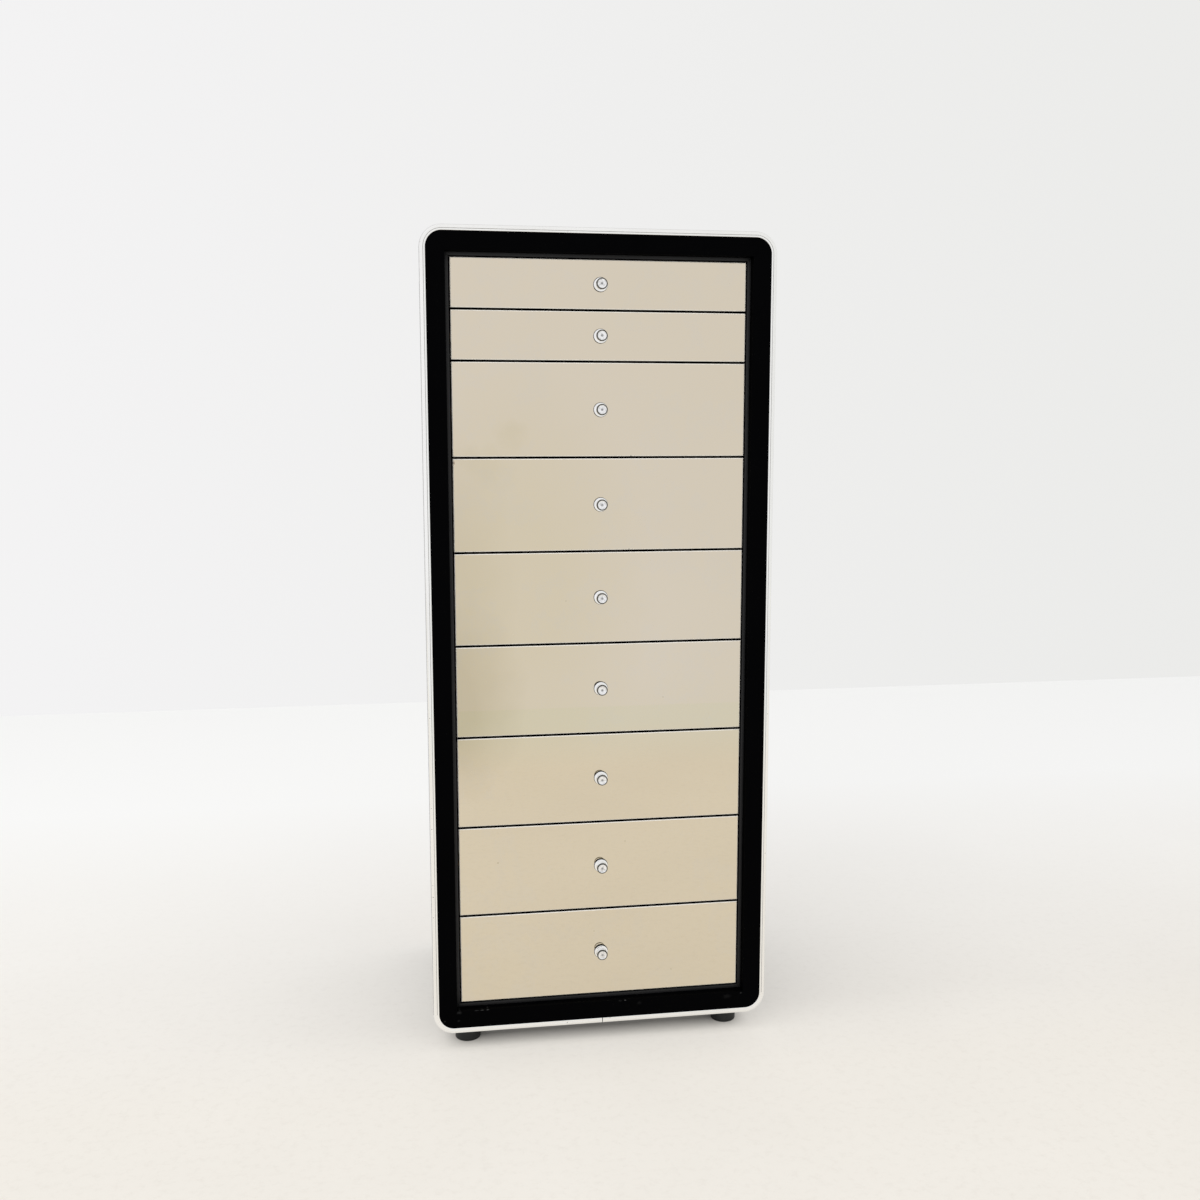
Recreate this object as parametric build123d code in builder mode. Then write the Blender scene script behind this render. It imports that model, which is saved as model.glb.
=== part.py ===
from build123d import *
from math import radians, tan
import os

os.makedirs("parts", exist_ok=True)

# A tall narrow chest of nine drawers. Millimetres, X to the right, Y to the back, Z up.
# The origin is on the floor, under the middle of the whole chest with its knobs.

# Driving sizes of the front
overall_width = 500.0
overall_depth = 400.0
shallow_count = 2
deep_count = 7
shallow_front_height = 67.3
deep_front_height = 130.3
front_gap = 3.1
edge_gap = 2.0
lip_width = 5.0
lip_thickness = 3.0
frame_width = 26.0
frame_proud = 14.0
frame_corner_radius = 22.5
rim_width = 8.5
rim_proud = 1.0
rim_outer_radius = 5.0
rim_inner_radius = 1.2
rim_seam = 1.0
tongue_reach = 5.0
tongue_thickness = 2.4
tongue_setback = 7.0
tongue_play = 0.1
glue_line = 0.1

# Driving sizes of the case, whose outer faces stand in from the rim's outer edge
case_inset = 5.0
back_thickness = 4.0
back_rebate = 10.0
back_play = 0.4
foot_radius = 19.0
foot_height = 35.0
foot_inset = 52.0
foot_edge_radius = 2.0
foot_well_radius = 8.0
foot_well_depth = 12.0

# Driving sizes of a drawer
pane_thickness = 4.0
pane_chamfer = 1.0
pane_hole_radius = 3.0
board_thickness = 16.0
board_inset = 0.5
box_play = 3.0
box_side_thickness = 14.0
box_below_front_top = 10.0
box_above_front_bottom = 8.0
box_rear_gap = 20.0
bottom_thickness = 4.0
bottom_rise = 8.0
bottom_groove_depth = 5.0
bottom_play = 0.1

# Driving sizes of the runners
runner_height = 12.0
runner_thickness = 10.0
runner_chamfer = 2.0
runner_groove_depth = 8.0
runner_play = 0.4
runner_setback = 30.0
runner_back_gap = 12.0
runner_screw_inset = 35.0

# Driving sizes of a knob
knob_length = 15.6
knob_collar_radius = 10.0
knob_collar_height = 3.4
knob_collar_round = 0.8
knob_shoulder = 1.0
knob_stem_radius = 6.6
knob_tip_radius = 8.0
knob_tip_length = 2.4
knob_face_radius = 6.3
knob_dish = 0.9
knob_dimple_radius = 1.0
knob_screw_reach = 8.0
knob_screw_radius = 2.0
knob_screw_play = 0.05
knob_screw_hole_play = 0.3
knob_screw_head_radius = 4.5
knob_screw_head_height = 2.6

# Driving sizes of the wood screws
runner_screw_radius = 1.6
runner_screw_head_radius = 3.2
runner_screw_length = 28.0
back_screw_radius = 1.4
back_screw_head_radius = 2.8
back_screw_length = 22.0
back_screw_end = 40.0
back_screws_per_side = 6
back_screws_per_end = 3
foot_screw_radius = 2.2
foot_screw_head_radius = 4.6
foot_screw_length = 40.0
screw_play = 0.05
screw_angle = 82

# The front worked out from outside to inside
frame_growth = lip_width + frame_width
border = frame_growth + rim_width
panel_thickness = border - case_inset
opening_width = overall_width - 2 * border
front_width = opening_width - 2 * edge_gap
front_heights = [shallow_front_height] * shallow_count + [deep_front_height] * deep_count
stack_height = sum(front_heights) + front_gap * (len(front_heights) - 1)
opening_height = stack_height + 2 * edge_gap
opening_bottom = foot_height + panel_thickness
opening_top = opening_bottom + opening_height
opening_middle = (opening_bottom + opening_top) / 2
half_opening = opening_width / 2

# Places along the depth, from the rim's crown to the back
rim_recess = frame_proud + rim_proud
front_reach = max(knob_length, rim_recess)
face_y = (front_reach + rim_recess - overall_depth) / 2
panel_front_y = face_y + lip_thickness
case_back_y = face_y - rim_recess + overall_depth
back_front_y = case_back_y - back_thickness
frame_thickness = frame_proud + lip_thickness
board_front_y = face_y + pane_thickness
board_back_y = board_front_y + board_thickness
box_back_y = back_front_y - box_rear_gap

# The drawer box and its runners, measured from the middle outwards
box_half_width = half_opening - box_play
box_inner_half = box_half_width - box_side_thickness
runner_front_y = board_back_y + runner_setback
runner_back_y = back_front_y - runner_back_gap
runner_tip = half_opening - runner_thickness
runner_screw_ys = [runner_front_y + runner_screw_inset, runner_back_y - runner_screw_inset]

# The lowest point of each drawer front, counted from the top
front_bottoms = []
next_top = opening_top - edge_gap
for height in front_heights:
    front_bottoms.append(next_top - height)
    next_top -= height + front_gap


def upright(y):
    """The upright plane at depth y, seen from the front: x to the right, y up."""
    return Plane.XZ.offset(-y)


def facing(x, y, z, direction):
    """A location on a surface whose outward side is direction, where a screw goes in."""
    return Plane(origin=(x, y, z), z_dir=direction).location


def save(piece, node):
    """Labels a finished piece and writes it under its node's name."""
    piece.part.label = node
    export_step(piece.part, f"parts/{node}.step")


def block(x_from, x_to, y_from, y_to, z_from, z_to, mode=Mode.ADD):
    """A block between two opposite corners, for the part under construction."""
    with Locations(((x_from + x_to) / 2, (y_from + y_to) / 2, (z_from + z_to) / 2)):
        Box(abs(x_to - x_from), abs(y_to - y_from), abs(z_to - z_from), mode=mode)


def corner_radius(growth):
    """The corner radius of a rounded outline that runs this far outside the opening."""
    return frame_corner_radius + growth - frame_growth


def rounded_outline(growth, mode=Mode.ADD):
    """The opening's outline grown outwards, its corners rounded, in the sketch under construction."""
    width, height = opening_width + 2 * growth, opening_height + 2 * growth
    RectangleRounded(width, height, corner_radius(growth), mode=mode)


def cut_back_rebate():
    """The rebate round the inside of the case's rear edge, where the back panel lies."""
    half_width = half_opening + back_rebate
    low, high = opening_bottom - back_rebate, opening_top + back_rebate
    block(-half_width, half_width, back_front_y, case_back_y, low, high, mode=Mode.SUBTRACT)


def wood_screw(head_radius, shank_radius, length):
    """A countersunk wood screw, head up at the origin, its point down the Z axis."""
    head_depth = (head_radius - shank_radius) / tan(radians(screw_angle / 2))
    point_start = length - 2 * shank_radius
    with BuildPart() as screw:
        with BuildSketch(Plane.XZ):
            with BuildLine():
                Polyline(
                    (0, 0),
                    (head_radius, 0),
                    (shank_radius, -head_depth),
                    (shank_radius, -point_start),
                    (0, -length),
                    close=True,
                )
            make_face()
        revolve(axis=Axis.Z)
    return screw.part


def spread(low, high, count):
    """Evenly spaced places from low to high, both included."""
    return [low + (high - low) * i / (count - 1) for i in range(count)]


# Where the screws go in
back_screw_x = half_opening + back_rebate / 2
back_screw_low = opening_bottom - back_rebate / 2
back_screw_high = opening_top + back_rebate / 2
side_screw_zs = spread(opening_bottom + back_screw_end, opening_top - back_screw_end, back_screws_per_side)
end_screw_xs = spread(-half_opening + back_screw_end, half_opening - back_screw_end, back_screws_per_end)
foot_x = overall_width / 2 - foot_inset
foot_front_y = face_y - rim_recess + foot_inset
foot_back_y = case_back_y - foot_inset
foot_places = [(x, y) for x in (-foot_x, foot_x) for y in (foot_front_y, foot_back_y)]
backward = (0, 1, 0)
downward = (0, 0, -1)


def box_heights(number):
    """The lower and upper edge of the box sides of drawer number, counted from 1 at the top."""
    low = front_bottoms[number - 1]
    high = low + front_heights[number - 1]
    return low + box_above_front_bottom, high - box_below_front_top


def runner_middle(number):
    """The height of the middle of the runners of drawer number."""
    low, high = box_heights(number)
    return (low + high) / 2


drawer_numbers = range(1, len(front_heights) + 1)


def runner_screw_places(x, side):
    """Where the runner screws of one side go in, on the upright face at x."""
    inward = (-side, 0, 0)
    return [facing(x, y, runner_middle(n), inward) for n in drawer_numbers for y in runner_screw_ys]


def pilot_hole(shank_radius, length):
    """A pilot hole at each place under construction, for that length of a screw's shank."""
    Hole(shank_radius + screw_play, length + screw_play)


def screw_hole(head_radius, shank_radius):
    """A countersunk hole right through, at each place under construction."""
    CounterSinkHole(shank_radius + screw_play, head_radius + screw_play, counter_sink_angle=screw_angle)


# The two side panels, with pilot holes for the runner screws and the back screws
for name, side in (("left_side", -1), ("right_side", 1)):
    inner, outer = side * half_opening, side * (half_opening + panel_thickness)
    with BuildPart() as side_panel:
        block(inner, outer, panel_front_y, case_back_y, opening_bottom, opening_top)
        cut_back_rebate()
        with Locations(*runner_screw_places(inner, side)):
            pilot_hole(runner_screw_radius, runner_screw_length - runner_thickness)
        with Locations(*[facing(side * back_screw_x, back_front_y, z, backward) for z in side_screw_zs]):
            pilot_hole(back_screw_radius, back_screw_length - back_thickness)
    save(side_panel, name)

# The top and the base panel, with pilot holes for the back screws and, below, for the feet
for name, side in (("top_panel", 1), ("base_panel", -1)):
    inner = opening_top if side > 0 else opening_bottom
    outer = inner + side * panel_thickness
    screw_z = back_screw_high if side > 0 else back_screw_low
    with BuildPart() as end_panel:
        block(-half_opening, half_opening, panel_front_y, case_back_y, inner, outer)
        cut_back_rebate()
        with Locations(*[facing(x, back_front_y, screw_z, backward) for x in end_screw_xs]):
            pilot_hole(back_screw_radius, back_screw_length - back_thickness)
        if side < 0:
            with Locations(*[facing(x, y, outer, downward) for x, y in foot_places]):
                pilot_hole(foot_screw_radius, foot_screw_length - foot_height + foot_well_depth)
    save(end_panel, name)

# The four posts that run along the case's corners, each with its outer corner rounded
with BuildPart() as corner_posts:
    for x, x_align in ((-half_opening, Align.MAX), (half_opening, Align.MIN)):
        for z, z_align in ((opening_bottom, Align.MAX), (opening_top, Align.MIN)):
            with BuildSketch(upright(case_back_y)) as post:
                with Locations((x, z)):
                    Rectangle(panel_thickness, panel_thickness, align=(x_align, z_align))
                outermost = post.vertices().sort_by_distance((x, z, 0))[-1]
                fillet(outermost, corner_radius(panel_thickness))
            extrude(amount=case_back_y - panel_front_y)
    cut_back_rebate()
save(corner_posts, "corner_posts")

# The back panel lies in the rebate and is screwed all round
back_half_width = half_opening + back_rebate - back_play
back_low = opening_bottom - back_rebate + back_play
back_high = opening_top + back_rebate - back_play
back_screw_places = [
    facing(x, case_back_y, z, backward) for x in (-back_screw_x, back_screw_x) for z in side_screw_zs
] + [facing(x, case_back_y, z, backward) for x in end_screw_xs for z in (back_screw_low, back_screw_high)]
with BuildPart() as back_panel:
    block(-back_half_width, back_half_width, back_front_y, case_back_y, back_low, back_high)
    with Locations(*back_screw_places):
        screw_hole(back_screw_head_radius, back_screw_radius)
save(back_panel, "back_panel")

back_screw = wood_screw(back_screw_head_radius, back_screw_radius, back_screw_length)
with BuildPart() as back_screws:
    with Locations(*back_screw_places):
        add(back_screw)
save(back_screws, "back_screws")


def mitred_ring(outer_growth, inner_growth, corners_rounded):
    """A ring round the opening, in the sketch under construction, cut through at its mitres.

    Each cut starts inside the opening's corner and runs out past the ring's corner.
    """
    cut_length = 4 * outer_growth
    with Locations((0, opening_middle)):
        if corners_rounded:
            rounded_outline(outer_growth)
        else:
            Rectangle(opening_width + 2 * outer_growth, opening_height + 2 * outer_growth)
        Rectangle(opening_width + 2 * inner_growth, opening_height + 2 * inner_growth, mode=Mode.SUBTRACT)
    for x in (-half_opening, half_opening):
        for z in (opening_bottom, opening_top):
            slant = 45 if x * (z - opening_middle) > 0 else -45
            with Locations((x, z)):
                Rectangle(cut_length, glue_line, rotation=slant, mode=Mode.SUBTRACT)


# The grey strips round the drawers, level with the mirrors
with BuildPart() as lip_frame:
    with BuildSketch(upright(panel_front_y)):
        mitred_ring(lip_width, 0, corners_rounded=False)
    extrude(amount=lip_thickness)
save(lip_frame, "lip_frame")


def rounded_band(outer_growth, inner_growth):
    """A ring round the opening with rounded corners, in the sketch under construction."""
    with Locations((0, opening_middle)):
        rounded_outline(outer_growth)
        rounded_outline(inner_growth, mode=Mode.SUBTRACT)


# The black frame stands ahead of the strips, with a groove round its outer edge for the rim
tongue_y = panel_front_y - tongue_setback
with BuildPart() as front_frame:
    with BuildSketch(upright(panel_front_y)):
        mitred_ring(frame_growth, lip_width, corners_rounded=True)
    extrude(amount=frame_thickness)
    with BuildSketch(upright(tongue_y + tongue_play)):
        rounded_band(frame_growth, frame_growth - tongue_reach - tongue_play)
    extrude(amount=tongue_thickness + 2 * tongue_play, mode=Mode.SUBTRACT)
save(front_frame, "front_frame")

# The bright rim is one bent band, its ends meeting in the middle below
with BuildPart() as rim_trim:
    with BuildSketch(upright(panel_front_y)):
        rounded_band(border, frame_growth)
    extrude(amount=frame_thickness + rim_proud)
    crown = rim_trim.faces().sort_by(Axis.Y)[0]
    fillet(crown.outer_wire().edges(), rim_outer_radius)
    crown = rim_trim.faces().sort_by(Axis.Y)[0]
    fillet(crown.inner_wires()[0].edges(), rim_inner_radius)
    with BuildSketch(upright(tongue_y)):
        rounded_band(frame_growth, frame_growth - tongue_reach)
    extrude(amount=tongue_thickness)
    seam_y = face_y - rim_recess
    block(-rim_seam / 2, rim_seam / 2, seam_y, panel_front_y, 0, opening_bottom, mode=Mode.SUBTRACT)
save(rim_trim, "rim_trim")

# The runners, one pair to a drawer, screwed to the side panels
for name, side in (("runners_left", -1), ("runners_right", 1)):
    inner, tip = side * half_opening, side * runner_tip
    with BuildPart() as runners:
        for n in drawer_numbers:
            low = runner_middle(n) - runner_height / 2
            block(inner, tip, runner_front_y, runner_back_y, low, low + runner_height)
        front_ends = runners.faces().group_by(Axis.Y)[0].edges().filter_by(Axis.Z)
        chamfer(front_ends.group_by(Axis.X)[-1 if side < 0 else 0], runner_chamfer)
        with Locations(*runner_screw_places(tip, side)):
            screw_hole(runner_screw_head_radius, runner_screw_radius)
    save(runners, name)

runner_screw = wood_screw(runner_screw_head_radius, runner_screw_radius, runner_screw_length)
with BuildPart() as runner_screws:
    for side in (-1, 1):
        with Locations(*runner_screw_places(side * runner_tip, side)):
            add(runner_screw)
save(runner_screws, "runner_screws")

# The round feet, each with a well for the head of its screw
with BuildPart() as one_foot:
    Cylinder(foot_radius, foot_height, align=(Align.CENTER, Align.CENTER, Align.MIN))
    fillet(one_foot.edges().filter_by(GeomType.CIRCLE).sort_by(Axis.Z)[0], foot_edge_radius)
    with Locations(facing(0, 0, 0, downward)):
        Hole(foot_well_radius, foot_well_depth)
    with Locations(facing(0, 0, foot_well_depth, downward)):
        screw_hole(foot_screw_head_radius, foot_screw_radius)
with BuildPart() as feet:
    with Locations(*[(x, y, 0) for x, y in foot_places]):
        add(one_foot.part)
save(feet, "feet")

foot_screw = wood_screw(foot_screw_head_radius, foot_screw_radius, foot_screw_length)
with BuildPart() as foot_screws:
    with Locations(*[facing(x, y, foot_well_depth, downward) for x, y in foot_places]):
        add(foot_screw)
save(foot_screws, "foot_screws")


def knob_profile():
    """Half the outline of a turned knob, in the sketch under construction.

    x is the radius and y the distance ahead of the mirror.
    """
    collar_mouth = knob_collar_radius - knob_collar_round
    collar_edge = knob_collar_height - knob_collar_round
    tip_start = knob_length - knob_tip_length
    tip_round = knob_tip_radius - knob_face_radius
    dish_floor = knob_length - knob_dish
    with BuildLine() as outline:
        Polyline((0, 0), (knob_collar_radius, 0), (knob_collar_radius, collar_edge))
        RadiusArc((knob_collar_radius, collar_edge), (collar_mouth, knob_collar_height), -knob_collar_round)
        Polyline(
            (collar_mouth, knob_collar_height),
            (knob_stem_radius + knob_shoulder, knob_collar_height),
            (knob_stem_radius, knob_collar_height + knob_shoulder),
            (knob_stem_radius, tip_start - knob_shoulder),
            (knob_tip_radius, tip_start),
            (knob_tip_radius, knob_length - tip_round),
        )
        RadiusArc((knob_tip_radius, knob_length - tip_round), (knob_face_radius, knob_length), -tip_round)
        ThreePointArc(
            (knob_face_radius, knob_length),
            ((knob_face_radius + knob_dimple_radius) / 2, dish_floor + knob_dish / 4),
            (knob_dimple_radius, dish_floor),
        )
        Polyline((knob_dimple_radius, dish_floor), (0, dish_floor - knob_dimple_radius), (0, 0))
    make_face(outline.edges())


# The nine drawers, counted from the top
half_front = front_width / 2
groove_half = box_inner_half + bottom_groove_depth
screw_seat = -pane_thickness - board_thickness
knob_hole_depth = knob_screw_reach + knob_screw_radius
for n in drawer_numbers:
    low = front_bottoms[n - 1]
    high = low + front_heights[n - 1]
    middle = (low + high) / 2
    box_low, box_high = box_heights(n)
    bottom_low = box_low + bottom_rise
    bottom_high = bottom_low + bottom_thickness
    knob_line = Axis((0, face_y, middle), (0, -1, 0))
    turning_plane = Plane(origin=(0, face_y, middle), x_dir=(1, 0, 0), z_dir=(0, 0, -1))

    # The mirror pane, its front edges ground off, with a hole for the knob's screw
    with BuildPart() as mirror_pane:
        block(-half_front, half_front, face_y, board_front_y, low, high)
        chamfer(mirror_pane.faces().sort_by(Axis.Y)[0].edges(), pane_chamfer)
        with Locations(facing(0, face_y, middle, (0, -1, 0))):
            Hole(pane_hole_radius)
    save(mirror_pane, f"drawer_{n}_mirror")

    # The board behind the pane, grooved for the bottom
    with BuildPart() as front_board:
        block(
            -half_front + board_inset,
            half_front - board_inset,
            board_front_y,
            board_back_y,
            low + board_inset,
            high - board_inset,
        )
        block(
            -groove_half - bottom_play,
            groove_half + bottom_play,
            board_back_y - bottom_groove_depth,
            board_back_y,
            bottom_low - bottom_play,
            bottom_high + bottom_play,
            mode=Mode.SUBTRACT,
        )
        with Locations(facing(0, board_back_y, middle, backward)):
            Hole(knob_screw_radius + knob_screw_hole_play)
    save(front_board, f"drawer_{n}_front")

    # Two sides, grooved for the bottom inside and for the runner outside, and the back between them
    runner_low = runner_middle(n) - runner_height / 2
    with BuildPart() as box:
        for side in (-1, 1):
            outer, inner = side * box_half_width, side * box_inner_half
            block(inner, outer, board_back_y, box_back_y, box_low, box_high)
            groove_floor = side * (groove_half + bottom_play)
            block(
                inner,
                groove_floor,
                board_back_y,
                box_back_y,
                bottom_low - bottom_play,
                bottom_high + bottom_play,
                mode=Mode.SUBTRACT,
            )
            groove_floor = side * (box_half_width - runner_groove_depth)
            block(
                outer,
                groove_floor,
                runner_front_y - runner_play,
                box_back_y,
                runner_low - runner_play,
                runner_low + runner_height + runner_play,
                mode=Mode.SUBTRACT,
            )
        block(
            -box_inner_half + glue_line,
            box_inner_half - glue_line,
            box_back_y - box_side_thickness,
            box_back_y,
            bottom_high + bottom_play,
            box_high,
        )
    save(box, f"drawer_{n}_box")

    # The thin bottom slides in from behind, under the back
    with BuildPart() as bottom:
        block(
            -groove_half,
            groove_half,
            board_back_y - bottom_groove_depth + bottom_play,
            box_back_y,
            bottom_low,
            bottom_high,
        )
    save(bottom, f"drawer_{n}_bottom")

    # The turned knob, and the screw that holds it from inside the drawer
    with BuildPart() as knob:
        with BuildSketch(turning_plane):
            knob_profile()
        revolve(axis=knob_line)
        with Locations(facing(0, face_y, middle, backward)):
            Hole(knob_screw_radius + knob_screw_play, knob_hole_depth)
        with BuildSketch(turning_plane):
            with BuildLine():
                Polyline(
                    (0, screw_seat - knob_screw_head_height),
                    (knob_screw_head_radius, screw_seat - knob_screw_head_height),
                    (knob_screw_head_radius, screw_seat),
                    (knob_screw_radius, screw_seat),
                    (knob_screw_radius, knob_screw_reach),
                    (0, knob_screw_reach),
                    close=True,
                )
            make_face()
        revolve(axis=knob_line)
    save(knob, f"drawer_{n}_knob")
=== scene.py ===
from math import cos, pi, radians, sin, tan

import bmesh
import bpy
from mathutils import Matrix, Vector


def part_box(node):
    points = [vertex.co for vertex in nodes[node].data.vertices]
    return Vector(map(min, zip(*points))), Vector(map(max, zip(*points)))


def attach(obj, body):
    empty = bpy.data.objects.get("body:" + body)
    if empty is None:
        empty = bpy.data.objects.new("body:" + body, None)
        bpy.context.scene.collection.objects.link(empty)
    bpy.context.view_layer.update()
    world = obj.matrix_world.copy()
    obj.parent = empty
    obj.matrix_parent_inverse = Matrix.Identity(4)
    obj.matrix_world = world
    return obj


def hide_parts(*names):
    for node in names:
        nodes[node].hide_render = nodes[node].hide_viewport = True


# A tall chest of nine mirrored drawers. Metres, X to the right, Y to the back, Z up.
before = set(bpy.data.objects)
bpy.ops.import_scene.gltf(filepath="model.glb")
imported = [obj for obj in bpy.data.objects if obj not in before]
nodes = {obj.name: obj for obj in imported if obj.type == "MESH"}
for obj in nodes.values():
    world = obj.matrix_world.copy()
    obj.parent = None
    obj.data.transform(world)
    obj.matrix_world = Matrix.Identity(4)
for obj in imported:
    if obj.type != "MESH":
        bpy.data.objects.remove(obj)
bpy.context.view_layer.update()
mm = 0.001
drawerNumbers = range(1, 10)
print("frame loaded:", len(nodes), "nodes")


# The camera, fitted to the edges of the nine fronts
cameraView = {"lens": 37.32, "place": (-0.2737, -1.9380, 0.9038), "turn": (82.3803, 0.0424, -8.8445)}

cameraData = bpy.data.cameras.new("camera")
cameraData.lens = cameraView["lens"]
camera = bpy.data.objects.new("camera", cameraData)
camera.location = cameraView["place"]
camera.rotation_euler = [radians(angle) for angle in cameraView["turn"]]
bpy.context.collection.objects.link(camera)
bpy.context.scene.camera = camera
bpy.context.scene.view_settings.view_transform = "Standard"


# Small helpers for shader nodes
def wire(tree, value, socket):  # a socket is linked, anything else is set as it is
    if isinstance(value, bpy.types.NodeSocket):
        tree.links.new(value, socket)
    elif socket.type == "RGBA":
        socket.default_value = (*value, 1.0)
    else:
        socket.default_value = value


def addNode(tree, kind, inputs=None, **settings):
    node = tree.nodes.new(kind)
    for name, value in settings.items():
        setattr(node, name, value)
    for name, value in (inputs or {}).items():
        wire(tree, value, node.inputs[name])
    return node


def objectPlace(tree, stretch=(1, 1, 1)):
    place = addNode(tree, "ShaderNodeTexCoord").outputs["Object"]
    return addNode(tree, "ShaderNodeMapping", {"Vector": place, "Scale": stretch}).outputs["Vector"]


def noise(tree, place, scale, detail=3.0, roughness=0.5, distortion=0.0):
    inputs = {
        "Vector": place, "Scale": scale, "Detail": detail, "Roughness": roughness, "Distortion": distortion}
    return addNode(tree, "ShaderNodeTexNoise", inputs).outputs[0]


def between(tree, value, low, high, lowest=0.0, highest=1.0):
    inputs = {"Value": value, "From Min": low, "From Max": high, "To Min": lowest, "To Max": highest}
    return addNode(tree, "ShaderNodeMapRange", inputs).outputs["Result"]


def calc(tree, operation, *values):
    return addNode(tree, "ShaderNodeMath", dict(enumerate(values)), operation=operation).outputs[0]


def mixColour(tree, share, first, second):
    return addNode(tree, "ShaderNodeMix", {0: share, 6: first, 7: second}, data_type="RGBA").outputs[2]


def bump(tree, height, strength, depth, under=None):
    inputs = {"Height": height, "Strength": strength, "Distance": depth}
    if under is not None:
        inputs["Normal"] = under
    return addNode(tree, "ShaderNodeBump", inputs).outputs["Normal"]


def specks(tree, place, scale, size, share):
    # sparse round dots: cells of a pattern, most of them left empty
    cells = addNode(tree, "ShaderNodeTexVoronoi", {"Vector": place, "Scale": scale})
    chosen = calc(tree, "GREATER_THAN", addNode(
        tree, "ShaderNodeSeparateColor", {"Color": cells.outputs["Color"]}).outputs[0], 1.0 - share)
    return calc(tree, "MULTIPLY", between(tree, cells.outputs["Distance"], size, size * 0.6), chosen)


def finish(name, plain, varied):
    # plain sockets are set once, varied(tree, place) gives the linked ones
    material = bpy.data.materials.new(name)
    material.use_nodes = True
    tree = material.node_tree
    shader = tree.nodes["Principled BSDF"]
    for socket, value in {**plain, **varied(tree, objectPlace(tree))}.items():
        wire(tree, value, shader.inputs[socket])
    return material


# The room: a pale floor, pale walls all round, and one soft lamp
room = {
    "floor": (0.86, 0.825, 0.765),
    "floorShade": (0.82, 0.785, 0.725),
    "floorMottle": (0.74, 0.70, 0.64),
    "floorFar": (0.93, 0.93, 0.915),
    "floorBehindEye": (0.80, 0.815, 0.775),
    "farFrom": -0.3,
    "farTo": 1.1,
    "behindEyeFrom": -1.7,
    "behindEyeTo": -2.2,
    "floorAhead": 2.45,
    "floorBehind": 2.25,
    "floorAside": 6.0,
    "shadowLift": 0.38,
    "frontLift": 0.44,
    "frontLiftFrom": -0.10,
    "frontLiftTo": -0.32,
    "shadowReach": 0.06,
    "shadowDepth": 1.4,
    "shadowBeyond": -0.186,
    "beyondFade": 0.04,
    "shadowWithin": 0.235,
    "withinFade": 0.03,
    "glow": 1.05,
    "wallLeft": (0.905, 0.90, 0.905),
    "wallRight": (0.83, 0.83, 0.815),
    "fill": (0.86, 0.86, 0.87),
    "lampSize": 4.4,
    "lampPower": 45.0,
    "lampPlace": (-1.2, -1.6, 3.0),
    "lampTarget": (0.0, 0.0, 0.5),
}


def inView(tree):  # 1 where the eye sees a place, straight or in a mirror
    ray = addNode(tree, "ShaderNodeLightPath").outputs
    indirect = calc(tree, "MAXIMUM", ray["Is Glossy Ray"], ray["Is Transmission Ray"])
    return calc(tree, "MAXIMUM", ray["Is Camera Ray"], indirect)


def floorMaterial(sizes):
    def floorLook(tree, place):
        cloud = noise(tree, place, 1.4, 5.0, 0.6)
        scuffs = between(tree, noise(tree, objectPlace(tree, (3, 40, 1)), 2.0, 6.0, 0.7), 0.62, 0.75)
        colour = mixColour(tree, between(tree, cloud, 0.3, 0.7), sizes["floor"], sizes["floorShade"])
        colour = mixColour(tree, calc(tree, "MULTIPLY", scuffs, 0.25), colour, sizes["floorShade"])
        mottle = between(tree, noise(tree, place, 70.0, 6.0, 0.8), 0.50, 0.68)
        colour = mixColour(tree, calc(tree, "MULTIPLY", mottle, 0.4), colour, sizes["floorMottle"])
        depth = addNode(tree, "ShaderNodeSeparateXYZ", {0: place}).outputs["Y"]
        # the floor is painted darker and greener near and behind the eye
        behindEye = between(tree, depth, sizes["behindEyeFrom"], sizes["behindEyeTo"])
        colour = mixColour(tree, behindEye, colour, sizes["floorBehindEye"])
        # painted light: the floor is lighter towards the back
        far = between(tree, depth, sizes["farFrom"], sizes["farTo"])
        return {
            "Base Color": mixColour(tree, far, colour, sizes["floorFar"]),
            "Roughness": between(tree, cloud, 0.3, 0.7, 0.5, 0.62),
        }

    material = finish("paintedFloor", {"Specular IOR Level": 0.25}, floorLook)
    tree = material.node_tree
    shader = tree.nodes["Principled BSDF"]
    # a glow in the floor's own colour lifts the wide shadow and leaves the close one under the chest
    paint = shader.inputs["Base Color"].links[0].from_socket
    where = addNode(tree, "ShaderNodeSeparateXYZ", {0: objectPlace(tree)}).outputs
    begin, within = sizes["shadowBeyond"], sizes["shadowWithin"]
    below = between(tree, where["Y"], begin, begin + sizes["beyondFade"])
    fromMiddle = calc(tree, "ABSOLUTE", where["X"])
    below = calc(tree, "MULTIPLY", below, between(tree, fromMiddle, within, within - sizes["withinFade"]))
    hidden = addNode(tree, "ShaderNodeAmbientOcclusion", {"Distance": sizes["shadowReach"]}, samples=6)
    clearness = calc(tree, "POWER", hidden.outputs["AO"], sizes["shadowDepth"])
    clearness = between(tree, below, 0.0, 1.0, 1.0, clearness)
    strength = calc(tree, "MULTIPLY", clearness, sizes["glow"])
    glow = addNode(tree, "ShaderNodeEmission", {"Color": paint, "Strength": strength})
    wide, front = sizes["shadowLift"], sizes["shadowLift"] + sizes["frontLift"]
    ahead = between(tree, where["Y"], sizes["frontLiftFrom"], sizes["frontLiftTo"], wide, front)
    share = calc(tree, "MULTIPLY", inView(tree), ahead)
    lifted = addNode(tree, "ShaderNodeMixShader", {0: share, 1: shader.outputs[0], 2: glow.outputs[0]})
    rear = addNode(tree, "ShaderNodeNewGeometry").outputs["Backfacing"]  # from below it lets the eye through
    clear = addNode(tree, "ShaderNodeBsdfTransparent").outputs[0]
    mixed = addNode(tree, "ShaderNodeMixShader", {0: rear, 1: lifted.outputs[0], 2: clear})
    tree.links.new(mixed.outputs[0], tree.nodes["Material Output"].inputs["Surface"])
    return material


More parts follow.
